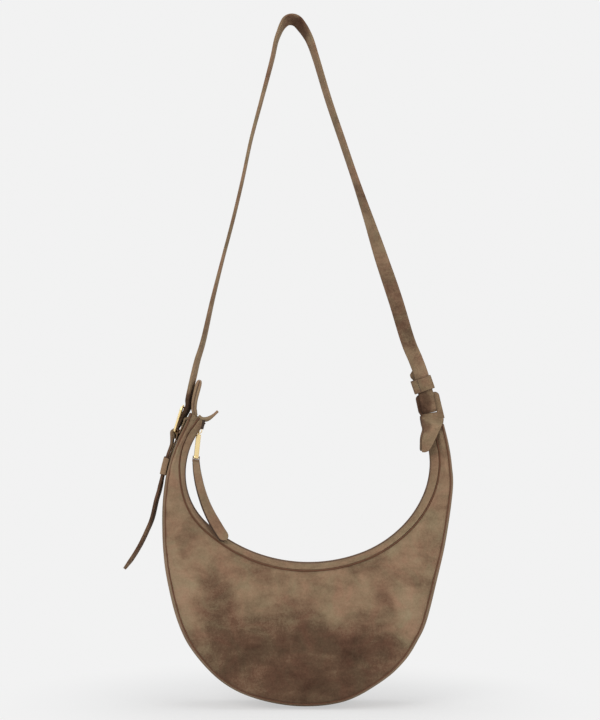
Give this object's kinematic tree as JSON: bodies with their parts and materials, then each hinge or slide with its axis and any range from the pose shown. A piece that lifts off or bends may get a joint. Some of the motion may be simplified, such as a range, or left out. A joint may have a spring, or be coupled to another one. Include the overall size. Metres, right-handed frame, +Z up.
{
  "type": "crossbody bag",
  "caption": "Crescent-shaped soft leather crossbody bag with a curved zipped mouth between two horns, a folded leather strap, a prong buckle and a long leather zip pull.",
  "frame": {"origin": "underside of the strap's crown, where a hand, a shoulder or a hook holds the bag; the bag hangs below it along -Z", "axes": "+Z up, +X to the right seen from the front, the front face towards -Y"},
  "size_m": [0.3443, 0.0684, 0.7224],
  "materials": {
    "suede": "matte, brushed and mottled",
    "suede_pale": "matte, paler and brushed",
    "lining_cloth": "plain woven lining",
    "tape_cloth": "dark woven tape",
    "coil": "dark nylon coil",
    "gold": "polished pale gold"
  },
  "bodies": {
    "strap": {"strap_face": "suede", "strap_lining": "suede", "right_keeper": "suede_pale", "right_tab_front": "suede", "right_tab_back": "suede"},
    "bag": {"front_panel": "suede", "back_panel": "suede", "gusset": "suede_pale", "mouth_band_front": "suede_pale", "mouth_band_back": "suede_pale", "lining_front": "lining_cloth", "lining_back": "lining_cloth", "lining_gusset": "lining_cloth", "slip_pocket": "lining_cloth", "zip_tape_front": "tape_cloth", "zip_tape_back": "tape_cloth", "zip_teeth_front": "coil", "zip_teeth_back": "coil", "zip_stop_left": "tape_cloth", "zip_stop_right": "tape_cloth", "right_tab_root": "suede", "tab_flap_front": "suede", "tab_flap_back": "suede", "left_ear_outer": "suede", "left_ear_inner": "suede", "left_leaf": "suede_pale", "buckle_chape": "suede", "buckle_frame": "gold", "tail_face": "suede", "tail_lining": "suede", "tail_keeper": "suede_pale"},
    "slider": {"zip_slider": "gold"},
    "puller": {"zip_puller": "gold"},
    "pull_tab": {"pull_knuckle": "suede", "pull_tab_front": "suede", "pull_tab_back": "suede"},
    "prong": {"buckle_prong": "gold"}
  },
  "joints": [
    {"name": "bag_swing", "type": "hinge", "parent": "strap", "child": "bag", "pos_m": [-0.10712, 0, -0.39293], "axis": [0.997, 0, -0.0768], "range_deg": [-45, 45]},
    {"name": "zip_slide", "type": "hinge", "parent": "bag", "child": "slider", "pos_m": [-0.03707, 0, -0.46799], "axis": [0, -1, 0], "range_deg": [0, 78]},
    {"name": "puller_swing", "type": "hinge", "parent": "slider", "child": "puller", "pos_m": [-0.09504, 0, -0.4249], "axis": [0, -1, 0], "range_deg": [0, 100]},
    {"name": "pull_tab_swing", "type": "hinge", "parent": "puller", "child": "pull_tab", "pos_m": [-0.09797, 0, -0.45275], "axis": [-0.9945, 0, 0.1045], "range_deg": [0, 90]},
    {"name": "prong_swing", "type": "hinge", "parent": "bag", "child": "prong", "pos_m": [-0.11752, 0, -0.42649], "axis": [0, -1, 0], "range_deg": [0, 36]}
  ]
}
